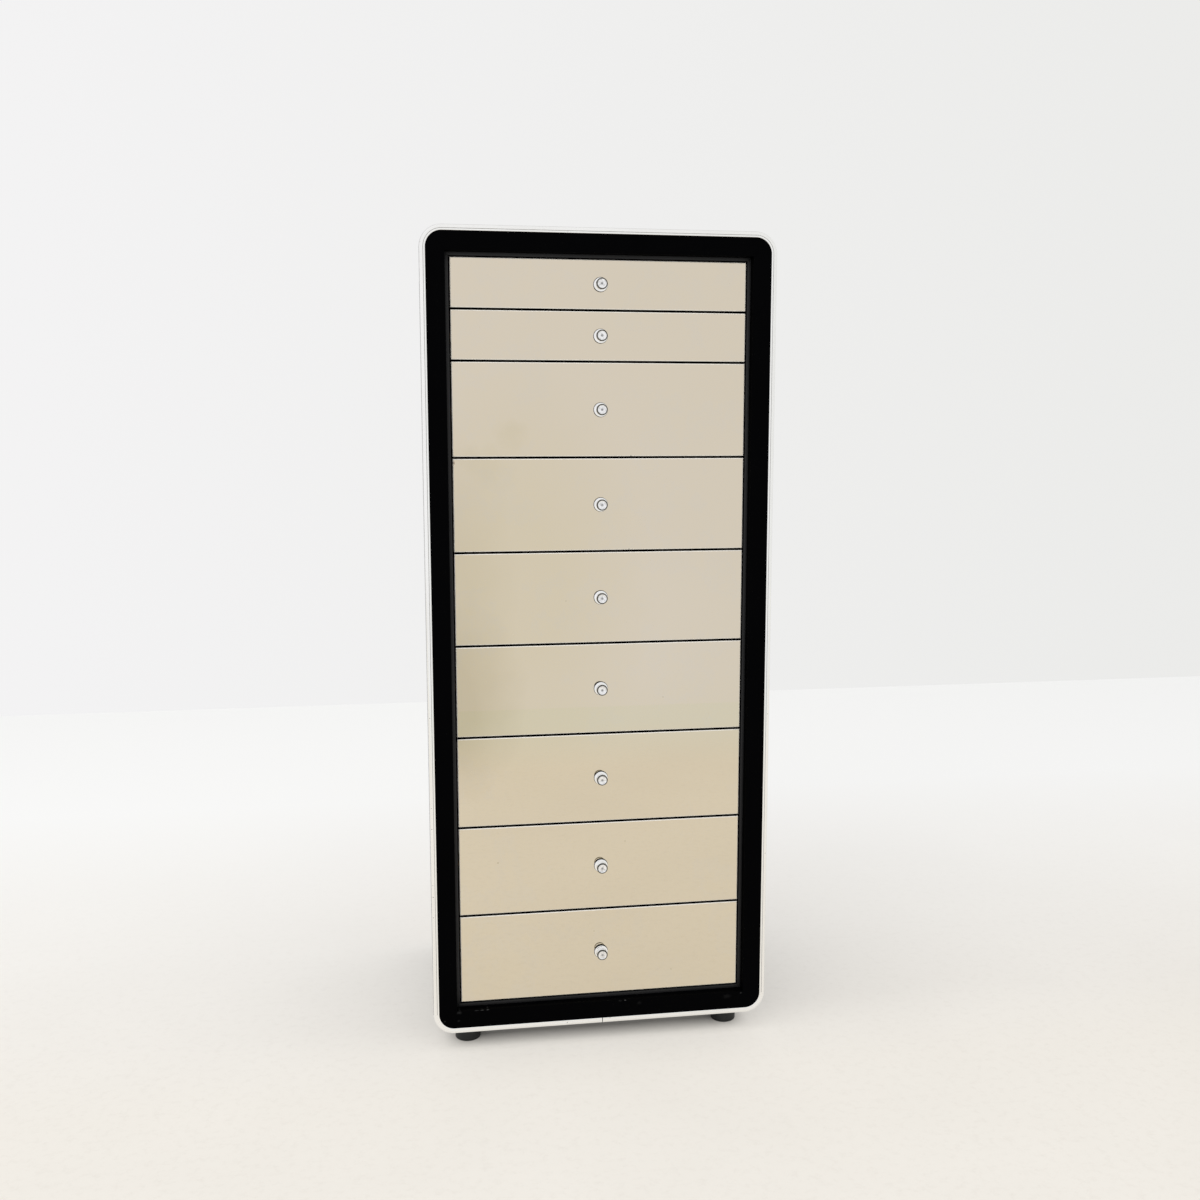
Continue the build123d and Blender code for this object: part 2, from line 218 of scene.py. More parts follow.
def buildRoom(sizes):
    side, ahead, behind = sizes["floorAside"], sizes["floorAhead"], sizes["floorBehind"]
    mesh = bpy.data.meshes.new("floor")
    corners = [(-side, -ahead, 0), (side, -ahead, 0), (side, behind, 0), (-side, behind, 0)]
    mesh.from_pydata(corners, [], [(0, 1, 2, 3)])
    mesh.materials.append(floorMaterial(sizes))
    floor = bpy.data.objects.new("floor", mesh)
    bpy.context.collection.objects.link(floor)

    world = bpy.data.worlds.new("room")
    bpy.context.scene.world = world
    world.use_nodes = True
    tree = world.node_tree
    tree.nodes.clear()
    sideways = addNode(tree, "ShaderNodeSeparateXYZ", {
        0: addNode(tree, "ShaderNodeTexCoord").outputs["Generated"]}).outputs["X"]
    # painted light: the wall that the eye sees is lighter on the left than on the right
    wall = mixColour(tree, between(tree, sideways, -0.35, 0.62), sizes["wallLeft"], sizes["wallRight"])
    colour = mixColour(tree, inView(tree), sizes["fill"], wall)
    background = addNode(tree, "ShaderNodeBackground", {"Color": colour})
    output = addNode(tree, "ShaderNodeOutputWorld")
    tree.links.new(background.outputs[0], output.inputs["Surface"])

    lampData = bpy.data.lights.new("lamp", "AREA")
    lampData.shape = "DISK"
    lampData.size = sizes["lampSize"]
    lampData.energy = sizes["lampPower"]
    lamp = bpy.data.objects.new("lamp", lampData)
    lamp.location = sizes["lampPlace"]
    aim = Vector(sizes["lampTarget"]) - Vector(sizes["lampPlace"])
    lamp.rotation_euler = aim.to_track_quat("-Z", "Y").to_euler()
    lamp.visible_camera = False
    lamp.visible_glossy = False
    bpy.context.collection.objects.link(lamp)


buildRoom(room)
print("room and lamp ready")


# Finishes
mirrorLook = {
    "tint": (0.762, 0.676, 0.543),
    "tintShade": (0.744, 0.658, 0.521),
    "lowPanesReflection": (0.742, 0.660, 0.510),
    "lowFrom": 0.56,
    "lowTo": 0.44,
    # marks on the fronts: x, z, half width, half height, tone, strength, how far the outline wanders
    # darker, browner patches: small ones up at the left, large ones over the left half
    "patches": [
        (-0.1255, 0.899, 0.030, 0.026, (0.66, 0.575, 0.40), 0.35, 0.05),
        (-0.154, 0.853, 0.036, 0.034, (0.66, 0.575, 0.40), 0.35, 0.05),
        (-0.185, 0.872, 0.022, 0.022, (0.66, 0.575, 0.40), 0.30, 0.05),
        (-0.215, 0.525, 0.110, 0.155, (0.50, 0.42, 0.27), 0.60, 0.03),
        (-0.215, 0.665, 0.100, 0.250, (0.50, 0.42, 0.27), 0.35, 0.03),
        (-0.120, 0.680, 0.200, 0.330, (0.70, 0.60, 0.38), 0.45, 0.05),
    ],
    "specks": [
        (-0.2068, 0.8633, 0.0012, 0.0034, (0.20, 0.11, 0.06), 0.90, 0.0012),
        (0.0437, 0.8726, 0.0011, 0.0012, (0.05, 0.04, 0.03), 0.90, 0.0006),
        (0.0412, 0.7393, 0.0011, 0.0012, (0.05, 0.04, 0.03), 0.85, 0.0006),
        (0.0923, 0.5210, 0.0011, 0.0010, (0.40, 0.34, 0.22), 0.75, 0.0006),
        (-0.0504, 0.6660, 0.0010, 0.0010, (0.40, 0.34, 0.22), 0.75, 0.0006),
        (-0.1522, 0.2818, 0.0019, 0.0010, (0.38, 0.32, 0.20), 0.80, 0.0008),
        (0.0362, 0.3053, 0.0010, 0.0010, (0.40, 0.34, 0.22), 0.75, 0.0006),
        (-0.0105, 0.1687, 0.0010, 0.0010, (0.40, 0.34, 0.22), 0.75, 0.0006),
        (0.1072, 0.1010, 0.0010, 0.0010, (0.40, 0.34, 0.22), 0.75, 0.0006),
    ],
}


def marked(tree, place, colour, marks, scale):
    # ovals in the plane of the fronts; scale is how fine their outlines wander
    texture = addNode(tree, "ShaderNodeTexNoise", {"Vector": place, "Scale": scale, "Detail": 3.0})
    wander = addNode(tree, "ShaderNodeVectorMath", {
        0: texture.outputs["Color"], 1: (0.5, 0.5, 0.5)}, operation="SUBTRACT").outputs[0]
    for x, z, width, height, tone, strength, ragged in marks:
        moved = addNode(tree, "ShaderNodeVectorMath", {
            0: wander, 1: (ragged, ragged, ragged), 2: place}, operation="MULTIPLY_ADD").outputs[0]
        moved = addNode(tree, "ShaderNodeVectorMath", {
            0: moved, 1: (1 / width, 0.0, 1 / height)}, operation="MULTIPLY").outputs[0]
        away = addNode(tree, "ShaderNodeVectorMath", {
            0: moved, 1: (x / width, 0.0, z / height)}, operation="DISTANCE").outputs["Value"]
        colour = mixColour(tree, between(tree, away, 1.0, 0.3, 0.0, strength), colour, tone)
    return colour


def tintedMirror():
    look = mirrorLook

    def varied(tree, place):
        cloud = noise(tree, place, 2.2, 2.0)
        colour = mixColour(tree, between(tree, cloud, 0.35, 0.65), look["tint"], look["tintShade"])
        # the lower panes are painted darker and yellower, a painted reflection of the floor they face
        height = addNode(tree, "ShaderNodeSeparateXYZ", {0: place}).outputs["Z"]
        lower = between(tree, height, look["lowFrom"], look["lowTo"])
        colour = mixColour(tree, lower, colour, look["lowPanesReflection"])
        colour = marked(tree, place, colour, look["patches"], 26.0)
        colour = marked(tree, place, colour, look["specks"], 900.0)
        smudge = between(tree, noise(tree, place, 9.0, 5.0, 0.65), 0.55, 0.8, 0.012, 0.06)
        dust = calc(tree, "MULTIPLY", specks(tree, place, 260.0, 0.16, 0.06), 0.3)
        return {
            "Base Color": colour,
            "Roughness": calc(tree, "ADD", smudge, dust),
            "Normal": bump(tree, noise(tree, place, 3.0, 1.0), 0.04, 0.002),
        }

    plain = {"Metallic": 1.0, "Coat Weight": 1.0, "Coat Roughness": 0.01, "Coat IOR": 1.5}
    return finish("tintedMirror", plain, varied)


def groundGlass():
    def varied(tree, place):
        grit = noise(tree, place, 900.0, 2.0)
        colour = mixColour(tree, grit, (0.90, 0.87, 0.80), (0.80, 0.76, 0.68))
        return {
            "Base Color": marked(tree, place, colour, mirrorLook["specks"], 900.0),
            "Roughness": between(tree, grit, 0.3, 0.7, 0.2, 0.4),
            "Normal": bump(tree, grit, 0.3, 0.0002),
        }

    return finish("groundGlass", {"Coat Weight": 0.5, "Coat Roughness": 0.1}, varied)


def metal(name, bright, dull, smoothest, roughest, scale, relief):
    # bright and dull are the two tones, scale is how fine the tarnish lies
    def varied(tree, place):
        cloud = noise(tree, place, scale, 4.0, 0.6)
        fine = noise(tree, place, scale * 14, 3.0, 0.7)
        return {
            "Base Color": mixColour(tree, between(tree, cloud, 0.4, 0.75), bright, dull),
            "Roughness": between(tree, fine, 0.25, 0.8, smoothest, roughest),
            "Normal": bump(tree, fine, relief, 0.0002),
        }

    return finish(name, {"Metallic": 1.0}, varied)


def collarPaintedShade():
    # the collar's wall is painted near black as painted shade and a painted reflection of a dark room, and
    # paler where it faces left, as painted light
    def varied(tree, place):
        normal = addNode(tree, "ShaderNodeNewGeometry").outputs["Normal"]
        toRight = addNode(tree, "ShaderNodeSeparateXYZ", {0: normal}).outputs["X"]
        toLeft = calc(tree, "MULTIPLY", toRight, -1.0)
        cloud = noise(tree, place, 300.0, 3.0, 0.6)
        dark = mixColour(tree, cloud, (0.009, 0.008, 0.005), (0.005, 0.0045, 0.003))
        return {
            # painted light: the wall is paler where it faces left
            "Base Color": mixColour(tree, between(tree, toLeft, 0.80, 0.97), dark, (0.45, 0.45, 0.50)),
            "Roughness": between(tree, cloud, 0.3, 0.7, 0.3, 0.45),
            "Normal": bump(tree, cloud, 0.1, 0.0002),
        }

    return finish("collarWall", {"Specular IOR Level": 0.03}, varied)


def makeDishShading():
    # the tip's dish is bright at its lip, a painted highlight, and greyer towards the middle, painted shade
    # in the dimple
    def varied(tree, place):
        away = addNode(tree, "ShaderNodeAttribute", attribute_name="away").outputs["Fac"]
        cloud = noise(tree, place, 330.0, 4.0, 0.6)
        fine = noise(tree, place, 1400.0, 3.0, 0.7)
        colour = mixColour(tree, between(tree, away, 0.9, 2.6), (0.38, 0.38, 0.39), (0.97, 0.97, 0.98))
        return {
            "Base Color": mixColour(tree, between(tree, cloud, 0.46, 0.70), colour, (0.55, 0.55, 0.55)),
            "Roughness": between(tree, fine, 0.25, 0.8, 0.10, 0.24),
            "Normal": bump(tree, fine, 0.15, 0.0002),
        }

    return finish("dishChrome", {"Metallic": 1.0}, varied)


def rimMetal():
    def varied(tree, place):
        along = addNode(tree, "ShaderNodeAttribute", attribute_name="along").outputs["Fac"]
        across = addNode(tree, "ShaderNodeAttribute", attribute_name="across").outputs["Fac"]
        spread = addNode(tree, "ShaderNodeCombineXYZ", {
            0: calc(tree, "MULTIPLY", along, 3.0), 1: calc(tree, "MULTIPLY", across, 900.0)})
        lines = noise(tree, spread.outputs[0], 1.0, 3.0, 0.6)
        cloud = noise(tree, place, 6.0, 4.0, 0.6)
        pits = specks(tree, place, 170.0, 0.16, 0.08)
        colour = mixColour(tree, between(tree, cloud, 0.4, 0.8), (0.985, 0.985, 0.975), (0.93, 0.925, 0.91))
        return {
            "Base Color": mixColour(tree, pits, colour, (0.45, 0.44, 0.42)),
            "Roughness": between(tree, lines, 0.3, 0.75, 0.09, 0.2),
            "Normal": bump(tree, lines, 0.12, 0.0002),
        }

    return finish("polishedRim", {"Metallic": 1.0}, varied)


# scuffs on the black frame under the strips' lower corners, in the order that the mirrors' marks have
frameScuffs = [
    (-0.1870, 0.0634, 0.0040, 0.0007, (0.040, 0.040, 0.040), 0.90, 0.0020),
    (-0.1790, 0.0636, 0.0035, 0.0007, (0.050, 0.050, 0.050), 0.90, 0.0020),
    (-0.1710, 0.0636, 0.0030, 0.0008, (0.060, 0.060, 0.060), 0.90, 0.0020),
    (-0.2125, 0.0620, 0.0040, 0.0030, (0.016, 0.016, 0.016), 0.90, 0.0060),
    (-0.2135, 0.0495, 0.0028, 0.0022, (0.011, 0.011, 0.011), 0.80, 0.0040),
    (-0.2340, 0.0500, 0.0018, 0.0016, (0.030, 0.030, 0.030), 0.80, 0.0030),
    (0.0270, 0.0630, 0.0040, 0.0010, (0.016, 0.016, 0.016), 0.80, 0.0030),
    (0.0345, 0.0632, 0.0020, 0.0008, (0.100, 0.100, 0.100), 0.90, 0.0010),
    (0.0565, 0.0575, 0.0045, 0.0030, (0.008, 0.008, 0.008), 0.70, 0.0060),
    (0.1910, 0.0580, 0.0075, 0.0040, (0.008, 0.008, 0.008), 0.70, 0.0080),
    (0.2130, 0.0620, 0.0018, 0.0014, (0.030, 0.030, 0.030), 0.90, 0.0020),
]


def darkCoat(name, tone, worn, smoothest, roughest, gloss, grain, relief, dusty=0.25, marks=()):
    # tone is the paint, worn shows through it along the edges, grain is the texture's scale,
    # dusty is how strong the dust is, and marks are scuffs as in frameScuffs
    def varied(tree, place):
        cloud = noise(tree, place, 5.0, 5.0, 0.6)
        fine = noise(tree, place, grain, 3.0, 0.6)
        edge = addNode(tree, "ShaderNodeAttribute", attribute_name="edge").outputs["Fac"]
        rubbed = calc(tree, "MULTIPLY", edge, between(tree, noise(tree, place, 60.0, 5.0, 0.7), 0.5, 0.72))
        dust = specks(tree, place, 420.0, 0.2, 0.05)
        coat = mixColour(tree, between(tree, cloud, 0.3, 0.75), tone, [channel * 1.6 for channel in tone])
        coat = mixColour(tree, calc(tree, "MULTIPLY", dust, dusty), coat, (0.12, 0.115, 0.11))
        if marks:
            coat = marked(tree, place, coat, marks, 500.0)
        scratches = between(tree, noise(tree, objectPlace(tree, (14, 14, 300)), 3.0, 4.0, 0.7), 0.68, 0.74)
        sheen = between(tree, cloud, 0.3, 0.75, smoothest, roughest)
        return {
            "Base Color": mixColour(tree, rubbed, coat, worn),
            "Roughness": calc(tree, "ADD", sheen, calc(tree, "MULTIPLY", scratches, 0.12)),
            "Normal": bump(tree, fine, relief, 0.0003),
        }

    return finish(name, {"Specular IOR Level": gloss}, varied)


def timber(name, light, dark, along):
    # along is the axis that the grain follows: 0 for X, 1 for Y
    stretch = [34.0, 34.0, 34.0]
    stretch[along] = 2.2

    def varied(tree, place):
        run = objectPlace(tree, stretch)
        bands = noise(tree, run, 1.3, 5.0, 0.55, 0.6)
        pores = noise(tree, objectPlace(tree, [value * 9 for value in stretch]), 1.6, 3.0, 0.6)
        colour = mixColour(tree, between(tree, bands, 0.3, 0.7), light, dark)
        flecks = between(tree, pores, 0.62, 0.74)
        cloud = noise(tree, place, 7.0, 3.0)
        darkest = [channel * 0.55 for channel in dark]
        colour = mixColour(tree, calc(tree, "MULTIPLY", flecks, 0.35), colour, darkest)
        return {
            "Base Color": mixColour(tree, between(tree, cloud, 0.3, 0.8, 0.0, 0.25), colour, dark),
            "Roughness": between(tree, bands, 0.2, 0.8, 0.42, 0.58),
            "Normal": bump(tree, flecks, 0.25, 0.0003, bump(tree, bands, 0.12, 0.0005)),
        }

    return finish(name, {"Specular IOR Level": 0.35}, varied)


def pressedBoard(name, light, dark, flake, relief):
    # chips or fibres pressed together, flake is how many to the metre
    def varied(tree, place):
        chips = addNode(tree, "ShaderNodeTexVoronoi", {"Vector": place, "Scale": flake})
        tone = addNode(tree, "ShaderNodeSeparateColor", {"Color": chips.outputs["Color"]}).outputs[0]
        fibre = noise(tree, place, flake * 2.5, 4.0, 0.7)
        colour = mixColour(tree, between(tree, tone, 0.0, 1.0, 0.0, 0.6), light, dark)
        return {
            "Base Color": mixColour(tree, between(tree, fibre, 0.4, 0.8, 0.0, 0.6), colour, dark),
            "Roughness": between(tree, fibre, 0.3, 0.7, 0.6, 0.8),
            "Normal": bump(tree, fibre, relief, 0.0005),
        }

    return finish(name, {"Specular IOR Level": 0.25}, varied)


def whiteFoil():
    def varied(tree, place):
        cloud = noise(tree, place, 8.0, 5.0, 0.6)
        scuff = between(tree, noise(tree, objectPlace(tree, (60, 6, 60)), 1.5, 5.0, 0.7), 0.6, 0.75)
        colour = mixColour(tree, between(tree, cloud, 0.3, 0.7), (0.72, 0.70, 0.65), (0.66, 0.63, 0.57))
        return {
            "Base Color": mixColour(tree, calc(tree, "MULTIPLY", scuff, 0.4), colour, (0.5, 0.47, 0.42)),
            "Roughness": between(tree, cloud, 0.3, 0.7, 0.38, 0.5),
            "Normal": bump(tree, noise(tree, place, 700.0, 2.0), 0.08, 0.0002),
        }

    return finish("whiteFoil", {}, varied)


mirrorGlass = tintedMirror()
paneEdge = groundGlass()
rimPolish = rimMetal()
chrome = metal("chrome", (0.98, 0.98, 0.98), (0.88, 0.88, 0.87), 0.05, 0.14, 90.0, 0.05)
# dark chrome for the ring round the tip's outer rounding: a painted reflection of dark surroundings
dimChrome = metal("dimChrome", (0.13, 0.13, 0.12), (0.08, 0.08, 0.07), 0.22, 0.40, 160.0, 0.15)
dishChrome = makeDishShading()
# the collar's wall: painted shade, with painted light on its left
collarWall = collarPaintedShade()
# grey for the rim's groove and outer edge: partly dirt, partly painted reflection lines
grooveGrey = metal("grooveGrey", (0.62, 0.62, 0.61), (0.44, 0.43, 0.42), 0.30, 0.45, 200.0, 0.2)
zinc = metal("zincSteel", (0.66, 0.66, 0.64), (0.48, 0.46, 0.42), 0.26, 0.45, 120.0, 0.2)
frameLacquer = darkCoat(
    "frameLacquer", (0.0007, 0.0007, 0.0009), (0.006, 0.0055, 0.005),
    0.30, 0.42, 0.010, 500.0, 0.05, 0.06, frameScuffs)
stripGrey = darkCoat(
    "stripGrey", (0.0092, 0.0092, 0.0096), (0.035, 0.035, 0.034), 0.42, 0.52, 0.26, 700.0, 0.08)
caseLaminate = darkCoat(
    "caseLaminate", (0.0085, 0.0085, 0.009), (0.06, 0.05, 0.042), 0.34, 0.48, 0.42, 1400.0, 0.22)
# near-black paint for the drawer boards, also standing in as painted shade deep in the gaps between the
# fronts and inside the rim's seam
boardPaint = darkCoat(
    "boardPaint", (0.002, 0.002, 0.002), (0.01, 0.01, 0.01), 0.5, 0.62, 0.03, 600.0, 0.1, 0.02)
# near black for the panes' sides: painted shade in the gaps between the fronts
edgePaint = darkCoat(
    "edgePaint", (0.002, 0.002, 0.0018), (0.004, 0.004, 0.003), 0.4, 0.55, 0.02, 800.0, 0.1, 0.0)
footPlastic = darkCoat(
    "footPlastic", (0.013, 0.014, 0.014), (0.06, 0.06, 0.058), 0.45, 0.58, 0.35, 900.0, 0.2)
sideWood = timber("beechAlong", (0.56, 0.38, 0.22), (0.42, 0.26, 0.13), 1)
backWood = timber("beechAcross", (0.56, 0.38, 0.22), (0.42, 0.26, 0.13), 0)
chipboard = pressedBoard("chipboard", (0.50, 0.36, 0.21), (0.27, 0.17, 0.09), 420.0, 0.5)
hardboard = pressedBoard("hardboard", (0.27, 0.155, 0.085), (0.17, 0.09, 0.045), 1100.0, 0.25)
foil = whiteFoil()
print("finishes ready")


# Shared making
def addPiece(name, mesh, body, materials, replaced=()):
    for material in materials[len(mesh.materials):]:  # a grown mesh brings its first one with it
        mesh.materials.append(material)
    piece = bpy.data.objects.new(name, mesh)
    bpy.context.collection.objects.link(piece)
    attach(piece, body)
    if replaced:
        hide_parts(*replaced)


def shade(mesh, sharpAngle=25):
    mesh.shade_smooth()
    mesh.set_sharp_from_angle(angle=radians(sharpAngle))


def outward(mesh):  # turns every face of a closed mesh to look outwards
    form = bmesh.new()
    form.from_mesh(mesh)
    bmesh.ops.recalc_face_normals(form, faces=form.faces)
    form.to_mesh(mesh)
    form.free()


def softened(node, width, shortest=0.003):
    # a copy of a CAD node with its triangles merged and its long edges rounded over
    form = bmesh.new()
    form.from_mesh(nodes[node].data)
    layer = form.faces.layers.float.new("edge")
    bmesh.ops.remove_doubles(form, verts=form.verts, dist=1e-6)
    bmesh.ops.dissolve_limit(form, angle_limit=radians(0.4), verts=form.verts, edges=form.edges)
    corners = [
        edge for edge in form.edges
        if edge.is_manifold and edge.calc_face_angle() > radians(30) and edge.calc_length() > shortest
    ]
    bevelled = bmesh.ops.bevel(
        form, geom=corners, offset=width, segments=2, profile=0.5, affect="EDGES", clamp_overlap=True)
    for face in bevelled["faces"]:
        face[layer] = 1.0
    mesh = bpy.data.meshes.new(node + "_form")
    form.to_mesh(mesh)
    form.free()
    shade(mesh)
    return mesh


def paintFaces(mesh, rule):  # rule(centre, normal) gives the material's number
    for face in mesh.polygons:
        face.material_index = rule(face.center, face.normal)


def rounded(corners, steps=4):
    # corners are (x, y, how far the rounding starts before and after the corner)
    line = []
    for number, (x, y, reach) in enumerate(corners):
        here = Vector((x, y))
        if not reach:
            line.append(here)
            continue
        before = Vector(corners[number - 1][:2])
        after = Vector(corners[(number + 1) % len(corners)][:2])
        start = here + (before - here).normalized() * reach
        end = here + (after - here).normalized() * reach
        for step in range(steps + 1):
            t = step / steps
            line.append(start * (1 - t) ** 2 + here * 2 * t * (1 - t) + end * t ** 2)
    return line


def turned(form, profile, steps):
    # turns a profile of (radius, height) in millimetres about Z; a point on the axis closes it
    rings = []
    for radius, height in profile:
        if radius < 1e-6:
            rings.append([form.verts.new((0, 0, height * mm))])
        else:
            angles = [2 * pi * step / steps for step in range(steps)]
            rings.append([
                form.verts.new((radius * mm * cos(angle), radius * mm * sin(angle), height * mm))
                for angle in angles
            ])
    for lower, upper in zip(rings, rings[1:]):
        for step in range(steps):
            after = (step + 1) % steps
            corners = [
                lower[step % len(lower)], lower[after % len(lower)],
                upper[after % len(upper)], upper[step % len(upper)]]
            form.faces.new(list(dict.fromkeys(corners)))
    return rings


def meshFrom(form, name, place=(0, 0, 0), facing=(0, 0, 1), sharpAngle=25):
    bmesh.ops.recalc_face_normals(form, faces=form.faces)
    form.transform(Matrix.Translation(place) @ Vector(facing).to_track_quat("Z", "Y").to_matrix().to_4x4())
    mesh = bpy.data.meshes.new(name)
    form.to_mesh(mesh)
    form.free()
    shade(mesh, sharpAngle)
    return mesh


def islands(node):
    # the lowest and highest corner of each separate solid of a CAD node
    form = bmesh.new()
    form.from_mesh(nodes[node].data)
    bmesh.ops.remove_doubles(form, verts=form.verts, dist=1e-6)
    waiting, boxes = set(form.verts), []
    while waiting:
        group, edgeOn = set(), [waiting.pop()]
        while edgeOn:
            vertex = edgeOn.pop()
            group.add(vertex)
            for edge in vertex.link_edges:
                other = edge.other_vert(vertex)
                if other in waiting:
                    waiting.remove(other)
                    edgeOn.append(other)
        low = Vector(min(vertex.co[axis] for vertex in group) for axis in range(3))
        high = Vector(max(vertex.co[axis] for vertex in group) for axis in range(3))
        boxes.append((low, high))
    form.free()
    return boxes


# Geometry Nodes trees
def newTree(name, inputs):
    tree = bpy.data.node_groups.new(name, "GeometryNodeTree")
    for label, kind in inputs:
        tree.interface.new_socket(label, in_out="INPUT", socket_type="NodeSocket" + kind)
    tree.interface.new_socket("Result", in_out="OUTPUT", socket_type="NodeSocketGeometry")
    return tree, addNode(tree, "NodeGroupInput").outputs


def endTree(tree, geometry, material):
    real = addNode(tree, "GeometryNodeRealizeInstances", {"Geometry": geometry}).outputs[0]
    painted = addNode(tree, "GeometryNodeSetMaterial", {"Geometry": real, "Material": material}).outputs[0]
    addNode(tree, "NodeGroupOutput", {"Result": painted})


def grown(tree, source, values):
    # runs a tree on a mesh and gives the result as a plain mesh
    holder = bpy.data.objects.new(source.name, source)
    bpy.context.collection.objects.link(holder)
    modifier = holder.modifiers.new("nodes", "NODES")
    modifier.node_group = tree
    for item in tree.interface.items_tree:
        if item.name in values:
            modifier[item.identifier] = values[item.name]
    bpy.context.view_layer.update()
    mesh = bpy.data.meshes.new_from_object(holder.evaluated_get(bpy.context.evaluated_depsgraph_get()))
    holder.modifiers.remove(modifier)
    bpy.data.objects.remove(holder)
    return mesh


def sweepTree():
    # a band: the path's corners are rounded, then the outline follows it, and both ends are capped
    tree, given = newTree("bandAlongPath", [
        ("Path", "Geometry"), ("Outline", "Object"), ("Corner radius", "Float"), ("Corner steps", "Int"),
        ("Finish", "Material")])
    path = addNode(tree, "GeometryNodeMeshToCurve", {"Mesh": given["Path"]}).outputs[0]
    path = addNode(tree, "GeometryNodeFilletCurve", {
        "Curve": path, "Count": given["Corner steps"], "Radius": given["Corner radius"],
    }, mode="POLY").outputs[0]
    path = addNode(tree, "GeometryNodeSetCurveNormal", {"Curve": path}, mode="Z_UP").outputs[0]
    length = addNode(tree, "GeometryNodeSplineParameter").outputs["Length"]
    path = addNode(tree, "GeometryNodeStoreNamedAttribute", {
        "Geometry": path, "Name": "along", "Value": length}).outputs[0]
    outline = addNode(tree, "GeometryNodeObjectInfo", {"Object": given["Outline"]}).outputs["Geometry"]
    outline = addNode(tree, "GeometryNodeMeshToCurve", {"Mesh": outline}).outputs[0]
    outline = addNode(tree, "GeometryNodeStoreNamedAttribute", {
        "Geometry": outline, "Name": "across", "Value": length}).outputs[0]
    band = addNode(tree, "GeometryNodeCurveToMesh", {
        "Curve": path, "Profile Curve": outline, "Fill Caps": True}).outputs[0]
    endTree(tree, band, given["Finish"])
    return tree


def placeTree():
    # one form on each place, turned to face outwards and spun a little about its own axis
    tree, given = newTree("formOnPlaces", [
        ("Places", "Geometry"), ("Form", "Object"), ("Largest spin", "Float"), ("Seed", "Int"),
        ("Finish", "Material")])
    facing = addNode(tree, "GeometryNodeInputNamedAttribute", {"Name": "facing"}, data_type="FLOAT_VECTOR")
    turnedOut = addNode(tree, "FunctionNodeAlignRotationToVector", {"Vector": facing.outputs[0]}, axis="Z")
    angle = addNode(tree, "FunctionNodeRandomValue", {"Seed": given["Seed"]}, data_type="FLOAT")
    wire(tree, given["Largest spin"], angle.inputs[3])
    spin = addNode(tree, "FunctionNodeAxisAngleToRotation", {"Axis": (0, 0, 1), "Angle": angle.outputs[1]})
    turn = addNode(tree, "FunctionNodeRotateRotation", {
        "Rotation": turnedOut.outputs[0], "Rotate By": spin.outputs[0]}, rotation_space="LOCAL")
    form = addNode(tree, "GeometryNodeObjectInfo", {"Object": given["Form"]}).outputs["Geometry"]
    placed = addNode(tree, "GeometryNodeInstanceOnPoints", {
        "Points": given["Places"], "Instance": form, "Rotation": turn.outputs[0]}).outputs[0]
    endTree(tree, placed, given["Finish"])
    return tree


bandAlongPath = sweepTree()
formOnPlaces = placeTree()


def lineMesh(name, points, closed):
    mesh = bpy.data.meshes.new(name)
    edges = [(i, i + 1) for i in range(len(points) - 1)]
    mesh.from_pydata(points, edges + ([(len(points) - 1, 0)] if closed else []), [])
    return mesh


def helper(mesh):  # an object that a tree reads, taken away once the tree has run
    thing = bpy.data.objects.new(mesh.name, mesh)
    bpy.context.collection.objects.link(thing)
    return thing


def placedForms(form, places, spin, seed, material):
    # places are (point, direction that the form's Z faces)
    points = bpy.data.meshes.new("places")
    points.from_pydata([place for place, direction in places], [], [])
    facing = points.attributes.new("facing", "FLOAT_VECTOR", "POINT")
    facing.data.foreach_set("vector", [value for place, direction in places for value in direction])
    thing = helper(form)
    values = {"Form": thing, "Largest spin": spin, "Seed": seed, "Finish": material}
    mesh = grown(formOnPlaces, points, values)
    bpy.data.objects.remove(thing)
    return mesh


backFace = 0.7  # how squarely a face looks one way to count as a cut edge or an inner face


# The bright rim: one bent band whose ends meet in the middle below
# millimetres, apart from the height where the painted lines start, which is in metres
rimShape = {
    "width": 8.5,
    "depth": 18.0,
    "outerRound": 4.6,
    "innerRound": 1.1,
    "beadWidth": 2.5,
    "grooveWidth": 0.8,
    "grooveDepth": 0.4,
    "grooveRound": 0.15,
    "grooveFloorRound": 0.1,
    "beadRound": 0.4,
    "roundSteps": 8,
    "paintedLinesFrom": 0.25,
    "paintedEdgeWidth": 0.6,
    "backRound": 0.4,
    "tongueReach": 5.0,
    "tongueBack": 7.0,
    "tongueFront": 9.4,
    "cornerRadius": 22.5,
    "cornerSteps": 20,
    "seam": 1.0,
}


